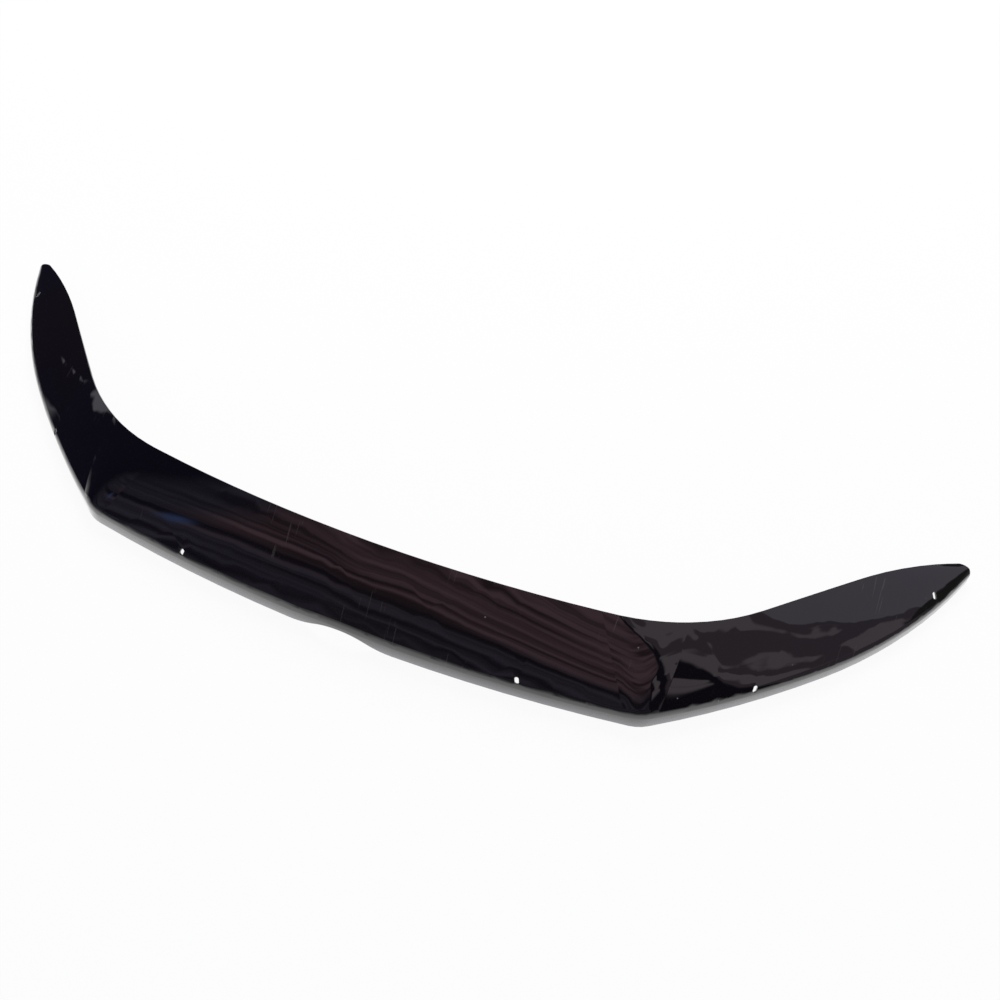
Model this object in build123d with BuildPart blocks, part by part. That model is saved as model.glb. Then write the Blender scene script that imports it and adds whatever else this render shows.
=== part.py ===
from build123d import *
import os
from math import asin, atan, ceil, cos, degrees, pi, radians, sin, sqrt, tan

os.makedirs("parts", exist_ok=True)

# Hood bug deflector: one sheet of smoked acrylic, formed hot and then trimmed.
# X runs across the car, Y to the rear and Z up, and the trimmed lower edge lies in one plane.

# Sheet
sheet_thickness = 3.0

# Lower edge in plan, right half, as arcs that follow each other from the middle
centre_radius = 2630.0
centre_turn = 8.5
corner_radius = 60.0
corner_turn = 24.4
wing_radius = 1400.0
wing_turn = 9.7
wing_end_radius = 634.0
wing_end_turn = 23.3

# Top edge in plan, right half, up to the arc that ends it, and its height in front view
top_setback = 95.0
top_centre_radius = 1855.0
top_centre_turn = 10.2
top_bend_radius = 338.0
top_bend_turn = 33.5
top_straight = 145.0
top_height = 108.0
top_crown_radius = 3080.0

# Length of the top edge over which the sections of each corner fan out
corner_fan = 110.0

# Each tip, where the top edge ends inward and rearward of the lower edge
tip_inset = 9.5
tip_reach = 18.2

# Cross-section: a flat lip at the bottom, a roll, and a slightly bowed face above
lip_width = 19.0
lip_lean = 10.0
tip_lip_width = 11.0
roll_radius = 25.0
tip_roll_radius = 11.0
face_bow = 3.0

# Notch in the middle of the lower edge, over which the roll rises a little
notch_half_width = 75.0
notch_height = 16.0
notch_roll_rise = 3.0

# Screw slots, three on each side, each across the sheet: how far along the lower edge, and how far up from it
slot_width = 5.5
slot_length = 9.5
slot_places = [(251.0, 33.5), (545.0, 27.5), (833.5, 32.5)]

# How far back the rounding of each tip starts, and the waste below the lower edge that is trimmed away
tip_depth = 18.0
trim_waste = 5.0

# Widest step between sections, and between those of the tight corners
section_step = 42.0
corner_section_step = 6.5

with BuildLine() as lower_edge:
    centre_arc = JernArc((0, 0), (1, 0), centre_radius, centre_turn)
    corner_arc = JernArc(centre_arc @ 1, centre_arc % 1, corner_radius, corner_turn)
    wing_arc = JernArc(corner_arc @ 1, corner_arc % 1, wing_radius, wing_turn)
    wing_end_arc = JernArc(wing_arc @ 1, wing_arc % 1, wing_end_radius, wing_end_turn)

with BuildLine() as top_edge:
    top_centre = JernArc((0, top_setback), (1, 0), top_centre_radius, top_centre_turn)
    top_bend = JernArc(top_centre @ 1, top_centre % 1, top_bend_radius, top_bend_turn)
    top_run = Line(top_bend @ 1, top_bend @ 1 + top_straight * (top_bend % 1))
    TangentArc(top_run @ 1, wing_end_arc @ 1 + Vector(-tip_inset, tip_reach), tangent=top_run % 1)

lower_length = lower_edge.wire().length
top_length = top_edge.wire().length
centre_length = centre_arc.length
wing_start = centre_length + corner_arc.length


def top_distance(distance):
    """How far along the top edge the section ends that starts at a distance along the lower edge."""
    fan_middle = (centre_length + wing_start) / 2 * top_length / lower_length
    fan_start = fan_middle - corner_fan / 2
    fan_end = fan_middle + corner_fan / 2
    if distance < centre_length:
        return fan_start * distance / centre_length
    if distance < wing_start:
        return fan_start + corner_fan * (distance - centre_length) / (wing_start - centre_length)
    return fan_end + (top_length - fan_end) * (distance - wing_start) / (lower_length - wing_start)


def section_frame(distance):
    """Plane of the section at a distance along the lower edge, square to the sheet, and the sheet's width there."""
    side = -1 if distance < 0 else 1
    share = abs(distance) / lower_length
    low = lower_edge.wire().position_at(share)
    top = top_edge.wire().position_at(top_distance(abs(distance)) / top_length)
    along = lower_edge.wire().tangent_at(share)
    height = top_height - top_crown_radius + sqrt(top_crown_radius**2 - top.X**2)
    low = Vector(side * low.X, low.Y, 0)
    chord = Vector(side * top.X, top.Y, height) - low
    normal = Vector(along.X, side * along.Y, 0).cross(chord)
    return Plane(origin=low, x_dir=chord, z_dir=chord.cross(normal)), chord.length


def outer_line(distance):
    """Outer side of the section, from the waste below the lower edge up to the top edge."""
    plane, width = section_frame(distance)
    wing_share = max(0, abs(distance) - wing_start) / (lower_length - wing_start)
    notch_share = max(0, 1 - abs(distance) / notch_half_width)
    lip = lip_width + (tip_lip_width - lip_width) * wing_share
    lip += notch_roll_rise * sin(pi / 2 * notch_share) ** 2
    roll = roll_radius + (tip_roll_radius - roll_radius) * wing_share
    # The face leans back from upright by this angle, and the section runs askew up it towards the tips
    face_lean = asin(plane.y_dir.Z)
    skew = plane.x_dir.Z / cos(face_lean)
    lip_angle = degrees(atan(skew * tan(face_lean - radians(lip_lean))))
    waste_end = Vector(-trim_waste, 0).rotate(Axis.Z, lip_angle)
    with BuildLine() as line:
        lip_line = PolarLine(waste_end, trim_waste + lip, lip_angle)
        roll_arc = JernArc(lip_line @ 1, lip_line % 1, roll, face_bow - lip_angle)
        TangentArc(roll_arc @ 1, (width, 0), tangent=roll_arc % 1)
    return line.wire(), plane


# Spans of the sheet between the ends of the lower edge's arcs, and the widest step between sections in each
spans = [
    (-lower_length, -wing_start, section_step),
    (-wing_start, -centre_length, corner_section_step),
    (-centre_length, centre_length, section_step),
    (centre_length, wing_start, corner_section_step),
    (wing_start, lower_length, section_step),
]

notch_turn = 2 * degrees(atan(notch_height / notch_half_width))
notch_arc_radius = notch_half_width / (2 * sin(radians(notch_turn)))

with BuildPart() as deflector_shield:
    # The sheet, span by span, through its sections
    for start, end, widest_step in spans:
        steps = ceil((end - start) / widest_step)
        for step in range(steps + 1):
            line, plane = outer_line(start + (end - start) * step / steps)
            with BuildSketch(plane):
                with BuildLine():
                    add(line)
                    offset(amount=sheet_thickness, side=Side.RIGHT)
                make_face()
        loft()

    # The lower edge, trimmed to one plane, with the notch as arcs that run into each other
    with BuildSketch(Plane.XZ):
        with BuildLine():
            left_run = Line((-lower_length, 0), (-notch_half_width, 0))
            left_foot = JernArc(left_run @ 1, (1, 0), notch_arc_radius, notch_turn)
            crown = JernArc(left_foot @ 1, left_foot % 1, notch_arc_radius, -2 * notch_turn)
            right_foot = JernArc(crown @ 1, crown % 1, notch_arc_radius, notch_turn)
            Polyline(
                right_foot @ 1,
                (lower_length, 0),
                (lower_length, -2 * trim_waste),
                (-lower_length, -2 * trim_waste),
                (-lower_length, 0),
            )
        make_face()
    extrude(amount=lower_length, both=True, mode=Mode.SUBTRACT)

    # The rounded tips, each half an ellipse across the sheet
    for side in (-1, 1):
        plane, width = section_frame(side * (lower_length - tip_depth))
        with BuildSketch(Plane(origin=plane.origin, x_dir=plane.x_dir, z_dir=plane.y_dir)):
            with Locations((width / 2, -side * tip_depth)):
                Rectangle(2 * width, 2 * tip_depth)
            with Locations((width / 2, 0)):
                Ellipse(width / 2, tip_depth, mode=Mode.SUBTRACT)
        extrude(amount=width, both=True, mode=Mode.SUBTRACT)

    # The screw slots, square to the sheet
    for distance, height in slot_places:
        for side in (-1, 1):
            line, plane = outer_line(side * distance)
            outer = plane.from_local_coords(line)
            share = (trim_waste + height) / outer.length
            along = outer % share
            with BuildSketch(Plane(origin=outer @ share, x_dir=along, z_dir=plane.z_dir.cross(along))):
                SlotOverall(slot_length, slot_width)
            extrude(amount=2 * sheet_thickness, both=True, mode=Mode.SUBTRACT)

# The origin goes to the middle of the sheet's footprint
box = deflector_shield.part.bounding_box()
deflector_shield.part.move(Location((-box.center().X, -box.center().Y, -box.min.Z)))

deflector_shield.part.label = "deflector_shield"
export_step(deflector_shield.part, "parts/deflector_shield.step")
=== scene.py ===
import math

import bpy
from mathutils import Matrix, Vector


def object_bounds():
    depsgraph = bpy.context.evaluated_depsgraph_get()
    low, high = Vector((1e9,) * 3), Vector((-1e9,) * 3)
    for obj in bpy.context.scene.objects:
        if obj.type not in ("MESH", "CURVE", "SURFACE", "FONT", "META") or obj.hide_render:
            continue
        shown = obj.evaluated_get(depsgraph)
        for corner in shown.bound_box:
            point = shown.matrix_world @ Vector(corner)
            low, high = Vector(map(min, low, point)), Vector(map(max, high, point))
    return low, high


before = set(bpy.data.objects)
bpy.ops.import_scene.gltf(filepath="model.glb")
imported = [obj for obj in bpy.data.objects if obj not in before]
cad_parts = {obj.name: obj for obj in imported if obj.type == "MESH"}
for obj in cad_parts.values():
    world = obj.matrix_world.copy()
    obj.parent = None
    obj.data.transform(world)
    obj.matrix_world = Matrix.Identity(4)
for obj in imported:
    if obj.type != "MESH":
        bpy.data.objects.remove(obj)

CAD_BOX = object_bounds()

# Floor, in metres: half its width, how far below the object it lies, and how far off gloss sees it as white
FLOOR_HALF = 12.0
FLOOR_DROP = 0.0003
WHITE_REACH = 0.085
TABLE_COLOUR = (0.030, 0.028, 0.045, 1)

# Acrylic: the painted reflection of the white floor along its trimmed lower edge and how high it reaches, and
# the waves of the formed sheet
PAINTED_LIP_REFLECTION = (0.37, 0.37, 0.40, 1)
PAINTED_REFLECTION_HEIGHT = 0.018
EDGE_ROUNDING = 0.0014
WAVE_PHASE = 3.5
WAVE_HEIGHT = 0.0085

WHITE = (1, 1, 1, 1)
BLACK = (0, 0, 0, 1)


class Nodes:
    """Builds one node tree: add() makes a node, and its sockets take values or other nodes' outputs."""

    def __init__(self, tree):
        self.tree = tree
        tree.nodes.clear()

    def add(self, kind, inputs=None, **settings):
        node = self.tree.nodes.new(kind)
        for key, value in settings.items():
            setattr(node, key, value)
        for key, value in (inputs or {}).items():
            if isinstance(value, bpy.types.NodeSocket):
                self.tree.links.new(value, node.inputs[key])
            else:
                node.inputs[key].default_value = value
        return node

    def math(self, operation, a, b=0.0):
        return self.add("ShaderNodeMath", {0: a, 1: b}, operation=operation).outputs[0]

    def ramp(self, value, low, high, smooth=True):
        """0 below low, 1 above high."""
        kind = "SMOOTHSTEP" if smooth else "LINEAR"
        node = self.add(
            "ShaderNodeMapRange", {"Value": value, "From Min": low, "From Max": high}, interpolation_type=kind)
        return node.outputs["Result"]

    def mix(self, factor, a, b):
        node = self.add("ShaderNodeMix", data_type="RGBA")
        for socket, value in zip((node.inputs[0], node.inputs[6], node.inputs[7]), (factor, a, b)):
            if isinstance(value, bpy.types.NodeSocket):
                self.tree.links.new(value, socket)
            else:
                socket.default_value = value
        return node.outputs[2]


def new_material(name):
    material = bpy.data.materials.new(name)
    material.use_nodes = True
    return material, Nodes(material.node_tree)


def smoked_acrylic():
    """Near-black glossy acrylic: a faint smoke tint, a wavy right wing, fine scratches and dust, and a painted
    reflection of the white floor along its lower edge.
    """
    material, n = new_material("smoked_acrylic_gloss")
    place = n.add("ShaderNodeTexCoord").outputs["Object"]

    tint = n.add("ShaderNodeTexNoise", {"Vector": place, "Scale": 3.5, "Detail": 2.0}).outputs["Fac"]
    colour = n.mix(n.ramp(tint, 0.35, 0.65), (0.0026, 0.0024, 0.0046, 1), (0.0044, 0.0032, 0.0040, 1))

    # Fine scratches, drawn out along the sheet, and a few short ones across it
    stretched = n.add("ShaderNodeMapping", {"Vector": place, "Scale": (3.0, 60.0, 90.0)}).outputs[0]
    along = n.add("ShaderNodeTexNoise", {"Vector": stretched, "Scale": 9.0, "Detail": 1.0}).outputs["Fac"]
    turned = n.add("ShaderNodeMapping", {
        "Vector": place, "Rotation": (0.3, 0.2, 0.9), "Scale": (200.0, 7.0, 7.0)}).outputs[0]
    across = n.add("ShaderNodeTexNoise", {"Vector": turned, "Scale": 3.0, "Detail": 0.0}).outputs["Fac"]
    patch = n.add("ShaderNodeTexNoise", {"Vector": place, "Scale": 14.0, "Detail": 0.0}).outputs["Fac"]
    few = n.math("MULTIPLY", n.ramp(across, 0.74, 0.78), n.ramp(patch, 0.62, 0.68))
    scratches = n.math("ADD", n.math("MULTIPLY", n.ramp(along, 0.66, 0.80), 0.25), few)

    # Dust: tiny pale specks, more of them where a broad noise is high
    cells = n.add("ShaderNodeTexVoronoi", {"Vector": place, "Scale": 95.0, "Randomness": 1.0})
    broad = n.add("ShaderNodeTexNoise", {"Vector": place, "Scale": 6.0, "Detail": 1.0}).outputs["Fac"]
    dusty = n.ramp(broad, 0.5, 0.7)
    drawn = n.add("ShaderNodeTexWhiteNoise", {"Vector": cells.outputs["Position"]}).outputs["Value"]
    chosen = n.ramp(drawn, 0.975, 0.98)
    speck = n.math("MULTIPLY", n.ramp(cells.outputs["Distance"], 0.13, 0.07), n.math("MULTIPLY", chosen, dusty))
    colour = n.mix(speck, colour, (0.20, 0.20, 0.21, 1))
    colour = n.mix(n.math("MULTIPLY", few, 0.30), colour, (0.10, 0.09, 0.09, 1))

    # Painted reflection: the colour lightens towards the trimmed lower edge, standing in for the white floor
    # reflected in the lip
    across_car, _, up = n.add("ShaderNodeSeparateXYZ", {0: place}).outputs
    colour = n.mix(n.math("POWER", n.ramp(up, PAINTED_REFLECTION_HEIGHT, 0.0, False), 1.35), colour, PAINTED_LIP_REFLECTION)

    # The formed sheet is wavy over its right wing, less so towards the tip, and nearly even elsewhere
    waves = n.add("ShaderNodeTexNoise", {
        "Vector": place, "W": WAVE_PHASE, "Scale": 9.0, "Detail": 0.4, "Roughness": 0.4, "Distortion": 0.5},
        noise_dimensions="4D")
    tip_share = n.math("MULTIPLY", n.ramp(across_car, 0.57, 0.66), 0.8)
    bent = n.math("MULTIPLY", n.ramp(across_car, 0.42, 0.48), n.math("SUBTRACT", 1.0, tip_share))
    wing = n.math("MULTIPLY", bent, n.ramp(up, 0.020, 0.045))
    height = n.math("SUBTRACT", waves.outputs["Fac"], 0.5)
    rounded = n.add("ShaderNodeBevel", {"Radius": EDGE_ROUNDING}, samples=6)
    wavy = n.add("ShaderNodeBump", {
        "Height": n.math("MULTIPLY", height, n.math("ADD", n.math("MULTIPLY", wing, 0.96), 0.04)),
        "Strength": 1.0, "Distance": WAVE_HEIGHT, "Normal": rounded.outputs[0]})
    scored = n.add("ShaderNodeBump", {
        "Height": scratches, "Strength": 0.10, "Distance": 0.00004, "Normal": wavy.outputs["Normal"]})

    roughness = n.math("ADD", n.math("MULTIPLY", n.math("ADD", scratches, speck), 0.12), 0.03)
    shader = n.add("ShaderNodeBsdfPrincipled", {
        "Base Color": colour, "Roughness": roughness, "IOR": 1.49, "Normal": scored.outputs["Normal"],
        "Coat Weight": 1.0, "Coat Roughness": 0.02, "Coat IOR": 1.49, "Coat Normal": wavy.outputs["Normal"]})
    out = n.add("ShaderNodeOutputMaterial")
    n.tree.links.new(shader.outputs[0], out.inputs["Surface"])
    return material


def floor_material():
    """White floor that keeps the object's shadow. In gloss it is white close by and dims further off."""
    material, n = new_material("white_floor")
    path = n.add("ShaderNodeLightPath").outputs
    lit = n.add("ShaderNodeBsdfDiffuse", {"Color": (0.86, 0.86, 0.86, 1)})
    near = n.math("POWER", n.math("MINIMUM", n.math("DIVIDE", WHITE_REACH, path["Ray Length"]), 1.0), 1.1)
    mirrored = n.mix(near, TABLE_COLOUR, WHITE)
    shown = n.mix(path["Is Glossy Ray"], WHITE, mirrored)
    glow = n.add("ShaderNodeEmission", {"Color": shown, "Strength": 1.0})
    plain = n.math("MULTIPLY", n.math("MAXIMUM", path["Is Camera Ray"], path["Is Transmission Ray"]), 0.93)
    share = n.math("MAXIMUM", plain, path["Is Glossy Ray"])
    mixed = n.add("ShaderNodeMixShader", {0: share, 1: lit.outputs[0], 2: glow.outputs[0]})
    out = n.add("ShaderNodeOutputMaterial")
    n.tree.links.new(mixed.outputs[0], out.inputs["Surface"])
    return material


def make_floor():
    mesh = bpy.data.meshes.new("floor")
    h = FLOOR_HALF
    mesh.from_pydata([(-h, -h, 0), (h, -h, 0), (h, h, 0), (-h, h, 0)], [], [(0, 1, 2, 3)])
    floor = bpy.data.objects.new("floor", mesh)
    bpy.context.scene.collection.objects.link(floor)
    floor.location.z = CAD_BOX[0][2] - FLOOR_DROP
    mesh.materials.append(floor_material())


def room_colour(n):
    """A dim room as a mirror sees it, by bearing and height in degrees.

    Bearing 0 is straight ahead of the object and 90 is on the photograph's right.
    """
    view = n.add("ShaderNodeTexCoord").outputs["Generated"]
    x, y, z = n.add("ShaderNodeSeparateXYZ", {0: view}).outputs
    bearing = n.math("MULTIPLY", n.math("ARCTAN2", x, n.math("MULTIPLY", y, -1.0)), 180.0 / math.pi)
    height = n.math("MULTIPLY", n.math("ARCSINE", z), 180.0 / math.pi)

    def noise(bearing_scale, height_scale, detail=1.0, distortion=0.0):
        flat = n.add("ShaderNodeCombineXYZ", {
            0: n.math("MULTIPLY", bearing, bearing_scale),
            1: n.math("MULTIPLY", height, height_scale)}).outputs[0]
        return n.add("ShaderNodeTexNoise", {
            "Vector": flat, "Scale": 1.0, "Detail": detail, "Distortion": distortion}).outputs["Fac"]

    def band(value, low, high, edge):
        rise = n.ramp(value, low - edge, low + edge)
        return n.math("MULTIPLY", rise, n.ramp(value, high + edge, high - edge))

    def patch(bearings, heights, edge):
        return n.math("MULTIPLY", band(bearing, *bearings, edge), band(height, *heights, edge))

    # Darkness all round, with a brown-red wall ahead over a blue-grey one
    colour = (0.018, 0.015, 0.030, 1)
    inward = n.math("SUBTRACT", bearing, n.math("MULTIPLY", n.ramp(height, 38.0, 46.0), 12.0))
    ahead = n.math("MULTIPLY", n.ramp(bearing, -64.0, -48.0), n.ramp(inward, 46.0, 44.0))
    colour = n.mix(ahead, colour, (0.165, 0.145, 0.205, 1))
    wall = n.math("MULTIPLY", n.ramp(bearing, -47.0, -37.0), n.ramp(inward, 45.5, 43.5))
    sloped = n.math("ADD", height, n.math("MULTIPLY", bearing, -0.12))
    wall = n.math("MULTIPLY", wall, n.ramp(sloped, 24.0, 34.0))
    colour = n.mix(wall, colour, (0.410, 0.250, 0.290, 1))
    streaks = n.ramp(noise(0.018, 0.30, 2.0), 0.36, 0.62, False)
    colour = n.mix(n.math("MULTIPLY", ahead, 0.75), colour, n.mix(streaks, BLACK, colour))
    tilted = n.math("ADD", height, n.math("MULTIPLY", bearing, -0.05))
    for low, high, strength in ((25.5, 28.0, 0.85), (33.6, 34.6, 0.7), (12.0, 14.5, 0.6)):
        line = n.math("MULTIPLY", band(tilted, low, high, 0.8), ahead)
        colour = n.mix(n.math("MULTIPLY", line, strength), colour, (0.02, 0.018, 0.03, 1))

    # Pale things on the right, broken up by dark ones, and a pale panel further round
    right = n.math("MULTIPLY", n.ramp(inward, 47.0, 49.0), n.ramp(bearing, 98.0, 96.0))
    broken = n.math("MULTIPLY", n.ramp(noise(0.070, 0.085, 0.5, 1.2), 0.44, 0.51), right)
    colour = n.mix(band(bearing, 62.0, 130.0, 1.0), colour, (0.200, 0.165, 0.200, 1))
    colour = n.mix(n.math("MULTIPLY", broken, n.ramp(height, 24.0, 28.0)), colour, (0.47, 0.41, 0.45, 1))
    colour = n.mix(patch((101.0, 175.0), (31.0, 80.0), 0.6), colour, (0.46, 0.43, 0.50, 1))
    colour = n.mix(patch((95.0, 175.0), (-5.0, 30.0), 0.8), colour, (0.060, 0.060, 0.045, 1))

    # A blue window ahead on the left, and two pale ones further round, one low and one high
    blue = n.math("MULTIPLY", band(bearing, -43.0, -40.5, 1.5), band(height, 21.5, 25.0, 1.5))
    colour = n.mix(blue, colour, (0.16, 0.26, 0.62, 1))
    colour = n.mix(patch((-93.0, -84.0), (0.5, 6.0), 0.8), colour, (0.30, 0.30, 0.34, 1))
    return n.mix(patch((-99.5, -91.0), (20.5, 28.0), 0.6), colour, (0.45, 0.45, 0.50, 1))


def make_world():
    """White where the camera sees it, soft light for the object, and a dim room in its gloss."""
    world = bpy.data.worlds.new("room")
    bpy.context.scene.world = world
    world.use_nodes = True
    n = Nodes(world.node_tree)
    path = n.add("ShaderNodeLightPath").outputs
    seen = n.math("MAXIMUM", path["Is Camera Ray"], path["Is Transmission Ray"])
    soft = n.add("ShaderNodeBackground", {"Color": (0.45, 0.45, 0.47, 1), "Strength": 1.0})
    room = n.add("ShaderNodeBackground", {"Color": room_colour(n), "Strength": 1.0})
    white = n.add("ShaderNodeBackground", {"Color": WHITE, "Strength": 1.0})
    dim = n.add("ShaderNodeMixShader", {0: path["Is Glossy Ray"], 1: soft.outputs[0], 2: room.outputs[0]})
    mixed = n.add("ShaderNodeMixShader", {0: seen, 1: dim.outputs[0], 2: white.outputs[0]})
    out = n.add("ShaderNodeOutputWorld")
    n.tree.links.new(mixed.outputs[0], out.inputs["Surface"])


def area_light(name, place, target, size, power):
    data = bpy.data.lights.new(name, "AREA")
    data.shape = "RECTANGLE"
    data.size, data.size_y = size
    data.energy = power
    light = bpy.data.objects.new(name, data)
    bpy.context.scene.collection.objects.link(light)
    light.location = place
    light.visible_glossy = False
    aim = [t - p for t, p in zip(target, place)]
    light.rotation_euler = Vector(aim).to_track_quat("-Z", "Y").to_euler()
    return light


def make_camera():
    data = bpy.data.cameras.new("camera")
    data.lens = 35.784
    data.sensor_width = 36.0
    camera = bpy.data.objects.new("camera", data)
    bpy.context.scene.collection.objects.link(camera)
    camera.location = (0.3947, -0.6126, 1.2049)
    camera.rotation_euler = (math.radians(31.535), 0.0, math.radians(22.137))
    bpy.context.scene.camera = camera


make_camera()
make_floor()
make_world()
area_light("overhead", (-0.6, 2.6, 2.6), (0.0, 0.0, 0.0), (2.5, 1.5), 110.0)

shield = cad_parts["deflector_shield"]
shield.data.materials.clear()
shield.data.materials.append(smoked_acrylic())

view = bpy.context.scene.view_settings
view.view_transform = "Standard"
